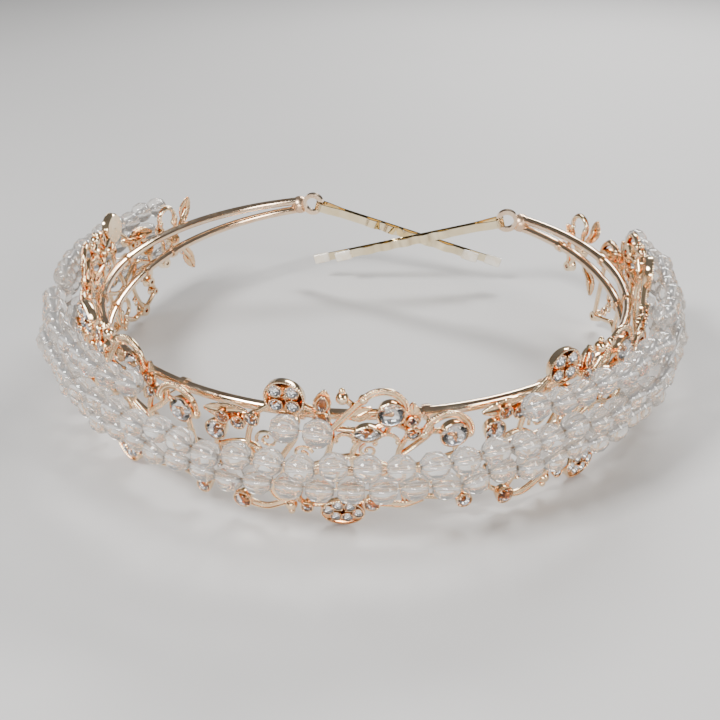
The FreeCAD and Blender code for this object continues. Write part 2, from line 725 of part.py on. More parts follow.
def met_at(stem, height):
    """Angle at which a stem first passes a height."""
    for (a0, z0), (a1, z1) in zip(stem, stem[1:]):
        if min(z0, z1) <= height <= max(z0, z1):
            return a0 + (a1 - a0) * (height - z0) / (z1 - z0)
    raise ValueError(f"no part of {stem} is at height {height:.2f}")


def tie(stem, wire, middle_angle, lean):
    """A coil round a band wire and the straight end that holds a casting to it."""
    height = (wire.Placement * on_ring(middle_angle + stem[0][0], 0, size("band_radius"))).Base.z
    at = middle_angle + met_at(stem, height)
    seat = wire.Placement * on_ring(at, 0, size("band_radius"))
    clear = size("band_wire") / 2 + 0.06
    length = size("tie_coil_length")
    tube = Part.makeCylinder(clear + size("tie_wire"), length, FreeCAD.Vector(-length / 2, 0, 0),
                             AXIS_X)
    bore = Part.makeCylinder(clear, length + 2, FreeCAD.Vector(-length / 2 - 1, 0, 0), AXIS_X)
    coil = placed(tube.cut(bore), seat)
    held = leaned_point(at, height, stem_radius(), lean)
    towards = (held - seat.Base).normalize()
    start = seat.Base + towards * (clear + size("tie_wire") / 2)
    end = held - towards * (size("stem_wire") / 2 + size("tie_clearance"))
    return coil.fuse(rod(start, end, size("tie_wire")))


for index, name in UNIT_NAMES.items():
    place = (unit_angle(index), LEANS[index])
    ties = [tie(stem, upper_band_wire, *place) for stem in UPPER_TIES]
    ties += [tie(stem, lower_band_wire, *place) for stem in LOWER_TIES]
    keep_shape(name + "_wire_ties", Part.makeCompound(ties))
spray_ties = [tie(SPRAY_TIED_STEM, lower_band_wire, angle, 0.0)
              for angle in SPRAY_ANGLES.values()]
keep_shape("spray_wire_ties", Part.makeCompound(spray_ties))


# ---------------------------------------------------------------- check and write

doc.recompute()
for item in doc.Objects:
    if {"Invalid", "Error"} & set(item.State):
        raise ValueError(f"{item.Label} did not build: {item.State}")
for item in sub_parts:
    if item.Shape.isNull() or not item.Shape.isValid():
        raise ValueError(f"{item.Label} has no valid shape")

os.makedirs("parts", exist_ok=True)
for item in sub_parts:
    item.Shape.exportStep(f"parts/{item.Label}.step")
print(len(sub_parts), "parts written")
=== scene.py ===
"""The looks of a bridal tiara: gilt filigree, foiled stones and crystal beads on a two-wire band.

Shapes are worked out in millimetres and turned into metres where a mesh is made. A cast unit is
drawn at the front of the ring, as (degrees from its middle, height), and then leaned and turned to
its place, the way its CAD casting is.
"""

import json
import math
import random

import bpy
from mathutils import Matrix, Vector


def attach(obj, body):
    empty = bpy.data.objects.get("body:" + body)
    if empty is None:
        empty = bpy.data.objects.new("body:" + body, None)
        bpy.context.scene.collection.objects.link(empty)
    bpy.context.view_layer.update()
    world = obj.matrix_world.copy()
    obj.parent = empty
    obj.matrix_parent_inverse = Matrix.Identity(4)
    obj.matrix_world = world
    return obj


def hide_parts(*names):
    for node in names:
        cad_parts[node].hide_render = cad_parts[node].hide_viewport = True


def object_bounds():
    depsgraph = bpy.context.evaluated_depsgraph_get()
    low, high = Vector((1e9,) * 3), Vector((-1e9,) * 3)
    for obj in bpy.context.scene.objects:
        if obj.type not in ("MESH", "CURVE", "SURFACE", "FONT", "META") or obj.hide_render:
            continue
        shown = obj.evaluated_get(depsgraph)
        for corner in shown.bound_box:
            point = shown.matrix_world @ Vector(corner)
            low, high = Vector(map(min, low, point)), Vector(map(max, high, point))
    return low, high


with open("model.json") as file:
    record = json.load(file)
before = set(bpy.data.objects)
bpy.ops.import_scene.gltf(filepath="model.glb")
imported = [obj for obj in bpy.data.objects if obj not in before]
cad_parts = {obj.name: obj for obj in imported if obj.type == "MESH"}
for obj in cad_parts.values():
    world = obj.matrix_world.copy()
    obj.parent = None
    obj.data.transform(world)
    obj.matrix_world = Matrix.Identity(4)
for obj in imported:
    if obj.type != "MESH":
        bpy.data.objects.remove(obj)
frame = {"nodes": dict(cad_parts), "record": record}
cad_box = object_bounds()

MM = 0.001
AXIS_X, AXIS_Z = Vector((1, 0, 0)), Vector((0, 0, 1))

# ---------------------------------------------------------------- where the units stand

UNIT_PITCH = 46.0
MIDDLE_UNIT = 7.0
UNITS = {"side_left": (-2, 0.6), "front_left": (-1, 4.0), "centre": (0, 8.0),
         "front_right": (1, 4.0), "side_right": (2, 0.0)}
SPRAYS = {"rear_left": -112.5, "rear_right": 131.0}
LEAN_PIVOT = Vector((0, -64.0, 1.0))
BACK = 62.4
FACE = 64.4
SEAT = 63.5
MIDDLE = (BACK + FACE) / 2


def unit_matrix(index, lean):
    """Leans a unit drawn at the front and turns it to its place on the ring."""
    to_pivot = Matrix.Translation(LEAN_PIVOT)
    leaned = to_pivot @ Matrix.Rotation(math.radians(lean), 4, "X") @ to_pivot.inverted()
    return Matrix.Rotation(math.radians(MIDDLE_UNIT + index * UNIT_PITCH), 4, "Z") @ leaned


def on_ring(angle, height, radius, slope=0.0):
    """Frame of a piece on the ring: X along it, Y up and Z outwards, then turned by slope."""
    turned = Matrix.Rotation(math.radians(angle), 4, "Z")
    seat = Matrix.Translation((0, -radius, height)) @ Matrix.Rotation(math.pi / 2, 4, "X")
    return turned @ seat @ Matrix.Rotation(math.radians(slope), 4, "Z")


def wrap(angle, height, radius):
    turned = math.radians(angle)
    return Vector((radius * math.sin(turned), -radius * math.cos(turned), height))


# ---------------------------------------------------------------- meshes


class Mesh:
    """Points in millimetres and faces, each face with the number of its material."""

    def __init__(self):
        self.points, self.faces, self.slots, self.flat = [], [], [], []

    def add(self, points, faces, slot=0, flat=False, place=None):
        first = len(self.points)
        self.points += [place @ Vector(p) for p in points] if place else [Vector(p) for p in points]
        self.faces += [tuple(first + i for i in face) for face in faces]
        self.slots += [slot] * len(faces)
        self.flat += [flat] * len(faces)

    def data(self, name, materials):
        made = bpy.data.meshes.new(name)
        made.from_pydata([p * MM for p in self.points], [], self.faces)
        for material in materials:
            made.materials.append(material)
        made.polygons.foreach_set("material_index", self.slots)
        made.polygons.foreach_set("use_smooth", [not flat for flat in self.flat])
        made.validate()
        made.set_sharp_from_angle(angle=math.radians(50))
        return made


def piece(name, data, body, matrix=None, replaces=()):
    """An object for a mesh, placed on its CAD body, that hides the CAD nodes it replaces."""
    made = bpy.data.objects.new(name, data)
    bpy.context.scene.collection.objects.link(made)
    if matrix is not None:
        moved = matrix.copy()
        moved.translation *= MM
        made.matrix_world = moved
    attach(made, body)
    if replaces:
        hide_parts(*replaces)
    return made


def smooth_path(points, steps=6, closed=False):
    """A Catmull-Rom curve through the points."""
    count = len(points)
    spans = count if closed else count - 1

    def at(i):
        return points[i % count] if closed else points[max(0, min(count - 1, i))]

    path = []
    for i in range(spans):
        a, b, c, d = at(i - 1), at(i), at(i + 1), at(i + 2)
        for step in range(steps):
            t = step / steps
            path.append(0.5 * ((2 * b) + (c - a) * t + (2 * a - 5 * b + 4 * c - d) * t * t
                               + (3 * b - a - 3 * c + d) * t ** 3))
    if not closed:
        path.append(points[-1])
    return path


def tube(mesh, path, radius, sides=8, closed=False, outwards=1.0):
    """A wire along a path. radius may depend on the point's number; outwards flattens it."""
    count = len(path)
    size_at = radius if callable(radius) else lambda i: radius
    points, faces = [], []
    for i, point in enumerate(path):
        before = path[i - 1] if i or closed else point
        after = path[(i + 1) % count] if i + 1 < count or closed else point
        along = (after - before).normalized()
        out = Vector((point.x, point.y, 0)).normalized()
        across = along.cross(out).normalized()
        out = across.cross(along)
        for side in range(sides):
            turn = 2 * math.pi * side / sides
            points.append(point + size_at(i) * (across * math.cos(turn)
                                                + out * math.sin(turn) * outwards))
    for i in range(count if closed else count - 1):
        here, there = i * sides, (i + 1) % count * sides
        for side in range(sides):
            beside = (side + 1) % sides
            faces.append((here + side, here + beside, there + beside, there + side))
    if not closed:
        last = (count - 1) * sides
        faces += [tuple(reversed(range(sides))), tuple(last + s for s in range(sides))]
    mesh.add(points, faces)


def resample(path, step, closed=False):
    """Points at equal steps along a path."""
    line = path + path[:1] if closed else path
    lengths = [(b - a).length for a, b in zip(line, line[1:])]
    count = max(2, round(sum(lengths) / step))
    spaced, i, walked = [], 0, 0.0
    for n in range(count if closed else count + 1):
        target = sum(lengths) * n / count
        while i < len(lengths) - 1 and walked + lengths[i] < target:
            walked += lengths[i]
            i += 1
        share = min(1.0, (target - walked) / max(lengths[i], 1e-9))
        spaced.append(line[i].lerp(line[i + 1], share))
    return spaced


GRAIN = 0.52
GRAIN_RINGS = 4


def milgrain(mesh, path, radius, closed=False):
    """A beaded line: a wire whose thickness swells at every grain."""
    spaced = resample(path, GRAIN / GRAIN_RINGS, closed)

    def swell(i):
        return radius * (0.55 + 0.45 * abs(math.sin(math.pi * i / GRAIN_RINGS)))

    tube(mesh, spaced, swell, sides=6, closed=closed)


def ball(mesh, centre, radius, rings=8, sides=14):
    points, faces = [centre + Vector((0, 0, radius))], []
    for ring in range(1, rings):
        polar = math.pi * ring / rings
        for side in range(sides):
            turn = 2 * math.pi * side / sides
            points.append(centre + radius * Vector((math.sin(polar) * math.cos(turn),
                                                    math.sin(polar) * math.sin(turn),
                                                    math.cos(polar))))
    points.append(centre - Vector((0, 0, radius)))
    last = len(points) - 1
    for side in range(sides):
        beside = (side + 1) % sides
        faces.append((0, 1 + side, 1 + beside))
        for ring in range(rings - 2):
            a, b = 1 + ring * sides, 1 + (ring + 1) * sides
            faces.append((a + side, b + side, b + beside, a + beside))
        top = 1 + (rings - 2) * sides
        faces.append((last, top + beside, top + side))
    mesh.add(points, faces)


def turned(mesh, place, outline, outline_at=None, sides=32):
    """A turned or oval shape: outline is (radius, height) from its rim, joined up all round."""
    points, faces, count = [], [], len(outline)
    for side in range(sides):
        turn = 2 * math.pi * side / sides
        for radius, height in outline:
            x, y = outline_at(turn, radius) if outline_at else (radius * math.cos(turn),
                                                               radius * math.sin(turn))
            points.append((x, y, height))
    for side in range(sides):
        here, there = side * count, (side + 1) % sides * count
        for i in range(count):
            j = (i + 1) % count
            faces.append((here + i, there + i, there + j, here + j))
    mesh.add(points, faces, place=place)


def circle_at(place, radius, height, count):
    return [place @ Vector((radius * math.cos(2 * math.pi * i / count),
                            radius * math.sin(2 * math.pi * i / count), height))
            for i in range(count)]


# ---------------------------------------------------------------- materials


def new_material(name):
    material = bpy.data.materials.new(name)
    material.use_nodes = True
    tree = material.node_tree
    return material, tree, tree.nodes["Principled BSDF"]


def noise(tree, scale, detail=3.0, roughness=0.5):
    coordinates = tree.nodes.new("ShaderNodeTexCoord")
    made = tree.nodes.new("ShaderNodeTexNoise")
    made.inputs["Scale"].default_value = scale
    made.inputs["Detail"].default_value = detail
    made.inputs["Roughness"].default_value = roughness
    tree.links.new(coordinates.outputs["Object"], made.inputs["Vector"])
    return made.outputs["Fac"]


def ramp(tree, factor, *stops):
    made = tree.nodes.new("ShaderNodeValToRGB")
    elements = made.color_ramp.elements
    while len(elements) < len(stops):
        elements.new(0.5)
    for element, (position, colour) in zip(elements, stops):
        element.position = position
        element.color = (*colour, 1.0)
    tree.links.new(factor, made.inputs["Fac"])
    return made.outputs["Color"]


def spread(tree, factor, low, high):
    made = tree.nodes.new("ShaderNodeMapRange")
    made.inputs["From Min"].default_value = 0.3
    made.inputs["From Max"].default_value = 0.7
    made.inputs["To Min"].default_value = low
    made.inputs["To Max"].default_value = high
    tree.links.new(factor, made.inputs["Value"])
    return made.outputs["Result"]


def bump(tree, shader, height, strength, distance_mm):
    made = tree.nodes.new("ShaderNodeBump")
    made.inputs["Strength"].default_value = strength
    made.inputs["Distance"].default_value = distance_mm * MM
    tree.links.new(height, made.inputs["Height"])
    tree.links.new(made.outputs["Normal"], shader.inputs["Normal"])


# painted shade: how deep in a recess, and the darker tone that it multiplies the metal by, standing
# in for the shade that falls in recesses
PAINTED_SHADE_TONES = ((0.20, (0.55, 0.22, 0.07)), (0.55, (0.95, 0.62, 0.34)), (0.85, (1.0, 1.0, 1.0)))


def plated(name, light, deep, roughness, grain_scale, grain_strength, painted_shade_distance=None):
    """Plated metal: patchy tone, uneven polish and a fine surface grain. Recesses get painted
    shade, a darker tone driven by ambient occlusion.
    """
    material, tree, shader = new_material(name)
    tone = ramp(tree, noise(tree, 260.0), (0.30, deep), (0.62, light))
    if painted_shade_distance:
        # painted shade: ambient occlusion darkens the metal colour in recesses
        painted_shade_occlusion = tree.nodes.new("ShaderNodeAmbientOcclusion")
        painted_shade_occlusion.samples = 4
        painted_shade_occlusion.inputs["Distance"].default_value = painted_shade_distance * MM
        shade = ramp(tree, painted_shade_occlusion.outputs["AO"], *PAINTED_SHADE_TONES)
        mixed = tree.nodes.new("ShaderNodeMix")
        mixed.data_type = "RGBA"
        mixed.blend_type = "MULTIPLY"
        mixed.inputs["Factor"].default_value = 1.0
        tree.links.new(tone, mixed.inputs["A"])
        tree.links.new(shade, mixed.inputs["B"])
        tone = mixed.outputs["Result"]
    tree.links.new(tone, shader.inputs["Base Color"])
    shader.inputs["Metallic"].default_value = 1.0
    low, high = roughness
    tree.links.new(spread(tree, noise(tree, 900.0), low, high), shader.inputs["Roughness"])
    bump(tree, shader, noise(tree, grain_scale, 4.0), grain_strength, 0.05)
    return material


def clear(name, light, tint, roughness, ior, transmission):
    """Cut glass, with a tint that drifts from stone to stone and a few polishing marks."""
    material, tree, shader = new_material(name)
    tree.links.new(ramp(tree, noise(tree, 180.0, 1.0), (0.35, tint), (0.65, light)),
                   shader.inputs["Base Color"])
    shader.inputs["Transmission Weight"].default_value = transmission
    shader.inputs["IOR"].default_value = ior
    low, high = roughness
    tree.links.new(spread(tree, noise(tree, 700.0), low, high), shader.inputs["Roughness"])
    return material


rose_wire = plated("rose_gold_wire", (0.99, 0.78, 0.57), (0.90, 0.62, 0.41), (0.08, 0.20),
                   2600.0, 0.10)
# the cast metal gets painted shade in recesses within 1.8 mm
rose_cast = plated("rose_gold_cast", (1.00, 0.82, 0.58), (0.92, 0.64, 0.38), (0.08, 0.22),
                   1900.0, 0.22, painted_shade_distance=1.8)
fine_gold = plated("fine_wire", (0.98, 0.76, 0.54), (0.86, 0.58, 0.38), (0.12, 0.26), 3000.0, 0.1)
solder = plated("solder", (0.90, 0.64, 0.44), (0.74, 0.48, 0.30), (0.26, 0.42), 1200.0, 0.35)
pale_gold = plated("pale_gold_strip", (0.99, 0.86, 0.60), (0.90, 0.74, 0.46), (0.03, 0.10),
                   2200.0, 0.08)
foil = plated("stone_foil", (1.00, 1.00, 1.00), (0.92, 0.93, 0.97), (0.05, 0.16), 1500.0, 0.05)
crystal = clear("crystal_bead", (1.0, 0.99, 0.975), (0.99, 0.95, 0.90), (0.0, 0.03), 1.58,
                transmission=0.86)
rhinestone = clear("rhinestone", (1.0, 1.0, 1.0), (0.95, 0.965, 1.0), (0.0, 0.02), 1.62,
                   transmission=1.0)

lacquer, lacquer_tree, lacquer_shader = new_material("tip_lacquer")
lacquer_tree.links.new(ramp(lacquer_tree, noise(lacquer_tree, 420.0), (0.35, (0.80, 0.70, 0.54)),
                            (0.65, (0.93, 0.88, 0.78))), lacquer_shader.inputs["Base Color"])
lacquer_tree.links.new(spread(lacquer_tree, noise(lacquer_tree, 800.0), 0.08, 0.2),
                       lacquer_shader.inputs["Roughness"])
lacquer_shader.inputs["Coat Weight"].default_value = 1.0

SLOT_MATERIALS = {"rose_gold_wire": rose_wire, "rose_gold_cast": rose_cast, "solder": solder,
                  "pale_gold_strip": pale_gold, "tip_lacquer": lacquer, "crystal_bead": crystal,
                  "rhinestone": rhinestone, "fine_wire": fine_gold}
for row in frame["record"]["subparts"]:
    cad_materials = frame["nodes"][row["node"]].data.materials
    cad_materials.clear()
    cad_materials.append(SLOT_MATERIALS[row["material_slot"]])

# ---------------------------------------------------------------- what the CAD nodes hold


def islands(node):
    """The separate solids of a CAD node, each as a list of points in millimetres."""
    data = frame["nodes"][node].data
    keys = {}
    key_of = [keys.setdefault(tuple(round(c * 1e6) for c in v.co), len(keys))
              for v in data.vertices]
    parent = list(range(len(keys)))

    def root(i):
        while parent[i] != i:
            parent[i] = parent[parent[i]]
            i = parent[i]
        return i

    for polygon in data.polygons:
        first, *rest = (root(key_of[i]) for i in polygon.vertices)
        for other in rest:
            parent[root(other)] = root(first)
    groups = {}
    for key, number in keys.items():
        groups.setdefault(root(number), []).append(Vector(key) / 1000.0)
    return list(groups.values())


def box_centre(points):
    return Vector([(min(p[i] for p in points) + max(p[i] for p in points)) / 2 for i in range(3)])


def stones_in(node, to_unit):
    """(angle, height, length, width, slope) of each stone of a node, in its unit's own frame."""
    found = []
    for points in islands(node):
        local = [to_unit @ p for p in points]
        centre = box_centre(local)
        angle = math.degrees(math.atan2(centre.x, -centre.y))
        seat = on_ring(angle, centre.z, SEAT).inverted()
        flat = [seat @ p for p in local]
        xx, yy, xy = (sum(p.x * p.x for p in flat), sum(p.y * p.y for p in flat),
                      sum(p.x * p.y for p in flat))
        slope = math.degrees(0.5 * math.atan2(2 * xy, xx - yy))
        turned_back = [Matrix.Rotation(-math.radians(slope), 3, "Z") @ p for p in flat]
        length = 2 * max(abs(p.x) for p in turned_back)
        width = 2 * max(abs(p.y) for p in turned_back)
        found.append((angle, centre.z, length, width, slope))
    return found


# ---------------------------------------------------------------- cut stones and beads

TABLE, STAR, GIRDLE_BAND, CROWN = 0.56, 0.80, 0.12, 0.42
SEAT_TO_GIRDLE = 0.63
CULET = 0.36


def cut_stone(mesh, place, length, width, pointed=False):
    """A brilliant: table, stars, kites and girdle facets in glass over a foiled pavilion."""

    def at(turn, share, height):
        x, y = math.cos(turn), math.sin(turn)
        if pointed:
            y *= abs(y) ** 0.55
        return (0.5 * length * share * x, 0.5 * width * share * y, height)

    small = 0.5 * width
    top = SEAT_TO_GIRDLE + CROWN * small
    girdle_top = SEAT_TO_GIRDLE + GIRDLE_BAND * small
    star_height = girdle_top + 0.62 * (top - girdle_top)
    eighth = math.pi / 4
    table = [at(i * eighth, TABLE, top) for i in range(8)]
    stars = [at((i + 0.5) * eighth, STAR, star_height) for i in range(8)]
    upper = [at(i * eighth / 2, 1.0, girdle_top) for i in range(16)]
    lower = [at(i * eighth / 2, 1.0, SEAT_TO_GIRDLE) for i in range(16)]
    culet = [at(i * eighth, CULET, 0.02) for i in range(8)]
    points = table + stars + upper + lower + culet
    t, s, u, w, c = 0, 8, 16, 32, 48
    crown, pavilion = [tuple(range(8))], [tuple(c + i for i in reversed(range(8)))]
    for i in range(8):
        j = (i + 1) % 8
        mid, end = 2 * i + 1, (2 * i + 2) % 16
        crown += [(t + i, s + i, t + j), (t + i, s + (i - 1) % 8, u + 2 * i, s + i),
                  (s + i, u + 2 * i, u + mid), (s + i, u + mid, u + end),
                  (u + 2 * i, w + 2 * i, w + mid, u + mid), (u + mid, w + mid, w + end, u + end)]
        pavilion += [(w + 2 * i, c + i, w + mid), (w + mid, c + i, c + j),
                     (w + mid, c + j, w + end)]
    mesh.add(points, crown, slot=0, flat=True, place=place)
    mesh.add(points, pavilion, slot=1, flat=True, place=place)


BEAD_SIDES = 8
BEAD_HOLE = 0.2
BEAD_RINGS = ((-0.5, 0.50, 0.0), (-0.28, 0.89, 0.5), (0.0, 1.0, 0.0), (0.28, 0.89, 0.5),
              (0.5, 0.50, 0.0))


def crystal_bead(mesh, place, length, girth):
    """A drilled crystal bead cut all over in triangular facets."""
    rings = [(x, BEAD_HOLE, turn) for x, _, turn in (BEAD_RINGS[0],)] + list(BEAD_RINGS)
    rings.append((BEAD_RINGS[-1][0], BEAD_HOLE, 0.0))
    points = []
    for x, share, turn in rings:
        for side in range(BEAD_SIDES):
            angle = 2 * math.pi * (side + turn) / BEAD_SIDES
            points.append((x * length, girth * share * math.cos(angle),
                           girth * share * math.sin(angle)))
    faces = []
    for ring in range(len(rings)):
        here, there = ring * BEAD_SIDES, (ring + 1) % len(rings) * BEAD_SIDES
        shift = rings[(ring + 1) % len(rings)][2] - rings[ring][2]
        for side in range(BEAD_SIDES):
            beside = (side + 1) % BEAD_SIDES
            if shift > 0:
                faces += [(here + side, here + beside, there + side),
                          (there + side, here + beside, there + beside)]
            elif shift < 0:
                faces += [(here + side, there + beside, there + side),
                          (here + side, here + beside, there + beside)]
            else:
                faces.append((here + side, here + beside, there + beside, there + side))
    mesh.add(points, faces, flat=True, place=place)


# ---------------------------------------------------------------- parts of a casting

CLAW_AT = (45, 135, 225, 315)
LARGE_STONE = 2.2
LARGE_CLAW, SMALL_CLAW = 0.27, 0.2
CLAW_OVERLAP = 0.02
CUP_WALL = 0.33
# rings and sides of the balls that stand for grains and claws
GRAIN_MESH = (5, 8)


def cup(mesh, angle, height, length, width, slope):
    """The setting round a stone: a tapered cup with a beaded rim and claws over the girdle."""
    round_one = width > 0.8 * length
    place = on_ring(angle, height, BACK, 0.0 if round_one else slope)
    wall, depth, floor = CUP_WALL, FACE - BACK, SEAT - BACK

    def outline_at(turn, radius):
        x, y = math.cos(turn), math.sin(turn)
        if not round_one:
            y *= abs(y) ** 0.45
        return ((length / 2 + radius) * x, (width / 2 + radius) * y)

    outline = [(-0.30 * width, 0.05), (-0.05, 0.05), (0.75 * wall, 0.55 * depth),
               (wall, 0.86 * depth), (0.8 * wall, 0.95 * depth), (0.04, 0.93 * depth),
               (0.03, floor), (-0.30 * width, floor - 0.04)]
    turned(mesh, place, outline, outline_at, sides=24)
    rim = [place @ Vector((*outline_at(2 * math.pi * i / 40, wall * 0.72), 0.93 * depth))
           for i in range(40)]
    milgrain(mesh, rim, 0.17, closed=True)
    claw = LARGE_CLAW if width > LARGE_STONE else SMALL_CLAW
    for turn in CLAW_AT if round_one else (0, 180):
        x, y = outline_at(math.radians(turn), -CLAW_OVERLAP)
        ball(mesh, place @ Vector((x, y, depth - CLAW_OVERLAP)), claw, *GRAIN_MESH)


LEAF_BACK = BACK + 0.25
LEAF_THICKNESS = 0.45
LEAF_SCALLOPS, SCALLOP_DEPTH = 5, 0.10
LEAF_RIBS, RIB_RISE = 9, 0.09
VEIN_RISE, VEIN_WIDTH = 0.26, 0.16
LEAF_EDGE_GRAIN = 0.15


def leaf(mesh, angle, height, length, width, slope):
    """A cupped leaf with a raised vein, fine ribs and a scalloped edge."""
    place = on_ring(angle, height, LEAF_BACK, slope)
    rows, columns = 22, 10
    top, bottom = [], []
    for row in range(rows + 1):
        s = row / rows
        half = 0.5 * width * math.sin(math.pi * min(1, s * 0.97 + 0.015)) ** 0.75
        half *= 1.0 - SCALLOP_DEPTH * abs(math.sin(LEAF_SCALLOPS * math.pi * s))
        for column in range(columns + 1):
            t = 2 * column / columns - 1
            slanted = s - 0.12 * abs(t)
            ribs = RIB_RISE * math.cos(2 * LEAF_RIBS * math.pi * slanted) * min(1, abs(t) * 3)
            vein = VEIN_RISE * math.exp(-(t / VEIN_WIDTH) ** 2)
            rise = (1.05 + ribs + vein) * (0.55 + 0.45 * math.sin(math.pi * s))
            top.append(((s - 0.5) * length, t * half, rise))
            bottom.append((*top[-1][:2], rise - LEAF_THICKNESS))
    stride, faces, base = columns + 1, [], len(top)
    for row in range(rows):
        for column in range(columns):
            a = row * stride + column
            faces.append((a, a + stride, a + stride + 1, a + 1))
            faces.append((base + a, base + a + 1, base + a + stride + 1, base + a + stride))
    edge = ([row * stride for row in range(rows + 1)]
            + [rows * stride + c for c in range(1, columns + 1)]
            + [row * stride + columns for row in range(rows - 1, -1, -1)]
            + list(range(columns - 1, 0, -1)))
    for a, b in zip(edge, edge[1:] + edge[:1]):
        faces.append((a, base + a, base + b, b))
    mesh.add(top + bottom, faces, place=place)
    rim = [place @ Vector(top[i]) for i in edge]
    milgrain(mesh, rim, LEAF_EDGE_GRAIN, closed=True)


# a scroll's lines as shares of its half thickness: how far aside, how far out and how thick
SCROLL_STEP = 9
BAND_SHARE, BAND_FLATNESS, BAND_INSET = 0.78, 0.9, 0.05
LINE_ASIDE, BEADS_OUT, INNER_OUT, LINE_SHARE = 0.62, 0.55, 0.45, 0.30
BEADS_EXTRA = 0.07
END_BALL_SHARE = 1.15


def scroll(mesh, angle, height, radius, tube_size, first, last):
    """A curl: a polished band, a beaded line along its outside and a ball on each end."""
    place = on_ring(angle, height, MIDDLE)
    half = tube_size / 2
    count = max(12, round((last - first) / SCROLL_STEP))
    turns = [math.radians(first + (last - first) * i / count) for i in range(count + 1)]
    closed = last - first >= 360
    if closed:
        turns.pop()

    def along(reach, lift):
        return [place @ Vector((reach * math.cos(t), reach * math.sin(t), lift)) for t in turns]

    band = along(radius - BAND_INSET, 0.0)
    tube(mesh, band, BAND_SHARE * half, 10, closed, BAND_FLATNESS)
    beads = along(radius + LINE_ASIDE * half, BEADS_OUT * half)
    milgrain(mesh, beads, LINE_SHARE * half + BEADS_EXTRA, closed)
    inner = along(radius - LINE_ASIDE * half, INNER_OUT * half)
    tube(mesh, inner, LINE_SHARE * half, 6, closed)
    if not closed:
        for end in (band[0], band[-1]):
            ball(mesh, end, END_BALL_SHARE * half)


RIB_HALF = 0.75
RIB_GRAIN = 0.26
RIB_EDGE_ASIDE, RIB_EDGE_OUT = 0.66, 0.5


def rib(mesh, line):
    """A broad polished band between two beaded lines."""
    path = smooth_path([wrap(a, z, MIDDLE) for a, z in line], 5)
    tube(mesh, path, BAND_SHARE * RIB_HALF, 10, outwards=BAND_FLATNESS)
    for side in (-1, 1):
        edge = []
        for i, point in enumerate(path):
            along = (path[min(i + 1, len(path) - 1)] - path[max(i - 1, 0)]).normalized()
            out = Vector((point.x, point.y, 0)).normalized()
            aside = along.cross(out) * side * RIB_EDGE_ASIDE
            edge.append(point + aside * RIB_HALF + out * RIB_EDGE_OUT * RIB_HALF)
        milgrain(mesh, edge, RIB_GRAIN)


CURL_RADIUS = BACK + 0.85
CURL_STEPS = 26
CURL_CLOSING = 0.72
CURL_THICK, CURL_TAPER, CURL_END = 0.34, 0.10, 0.42
# rings and sides of the balls that finish a wire
WIRE_END_MESH = (6, 10)


def curl(mesh, angle, height, radius, first, turns):
    """A thin wire spiral that fills the open ground between the stems."""
    place = on_ring(angle, height, CURL_RADIUS)
    path = []
    for i in range(CURL_STEPS + 1):
        s = i / CURL_STEPS
        turn = math.radians(first + 360 * turns * s)
        reach = radius * (1.0 - CURL_CLOSING * s)
        path.append(place @ Vector((reach * math.cos(turn), reach * math.sin(turn), 0)))
    tube(mesh, path, lambda i: CURL_THICK - CURL_TAPER * i / CURL_STEPS, sides=7)
    ball(mesh, path[-1], CURL_END, *WIRE_END_MESH)


STEM_RADIUS = BACK + 0.69
STEM_HALF = 0.58
RIDGE_OUT, STEM_GRAIN = 0.85, 0.19
STEM_END_SHARE = 1.12


def stem(mesh, line):
    """A wire with a beaded ridge and a ball on each end."""
    path = smooth_path([wrap(a, z, STEM_RADIUS) for a, z in line])
    tube(mesh, path, STEM_HALF, sides=8)
    ridge = [p + Vector((p.x, p.y, 0)).normalized() * STEM_HALF * RIDGE_OUT for p in path]
    milgrain(mesh, ridge, STEM_GRAIN)
    for end in (path[0], path[-1]):
        ball(mesh, end, STEM_END_SHARE * STEM_HALF, *WIRE_END_MESH)


PLATE_EDGE_INSET, PLATE_EDGE_GRAIN = 0.26, 0.24


def plate(mesh, angle, height, length, width):
    """A flat oval that carries a cluster of stones, with a beaded rim."""
    place = on_ring(angle, height, BACK)

    def outline_at(turn, inset):
        return ((length / 2 - inset) * math.cos(turn), (width / 2 - inset) * math.sin(turn))

    depth = FACE - BACK
    middle = min(length, width) / 2
    outline = [(middle - 0.02, 0.1), (0.45, 0.08), (0.12, 0.5), (0.05, 0.8 * depth),
               (0.45, 0.72 * depth), (0.8, 0.52 * depth), (middle - 0.02, 0.50 * depth)]
    turned(mesh, place, outline, outline_at, sides=36)
    rim = [place @ Vector((*outline_at(2 * math.pi * i / 48, PLATE_EDGE_INSET), 0.82 * depth))
           for i in range(48)]
    milgrain(mesh, rim, PLATE_EDGE_GRAIN, closed=True)


COLLAR_GAP, COLLAR_WIRE = 0.09, 0.13
CLUSTER_GRAIN = 0.22


def small_setting(mesh, angle, height, diameter):
    """A thin collar and four grains that hold a stone in a cluster."""
    place = on_ring(angle, height, BACK)
    depth = FACE - BACK
    collar = circle_at(place, diameter / 2 + COLLAR_GAP, 0.86 * depth, 24)
    tube(mesh, collar, COLLAR_WIRE, 6, closed=True)
    for turn in CLAW_AT:
        reach = diameter / 2 + 0.1
        x, y = reach * math.cos(math.radians(turn)), reach * math.sin(math.radians(turn))
        ball(mesh, place @ Vector((x, y, 0.94 * depth)), CLUSTER_GRAIN, *GRAIN_MESH)


# ---------------------------------------------------------------- the cast unit and the spray

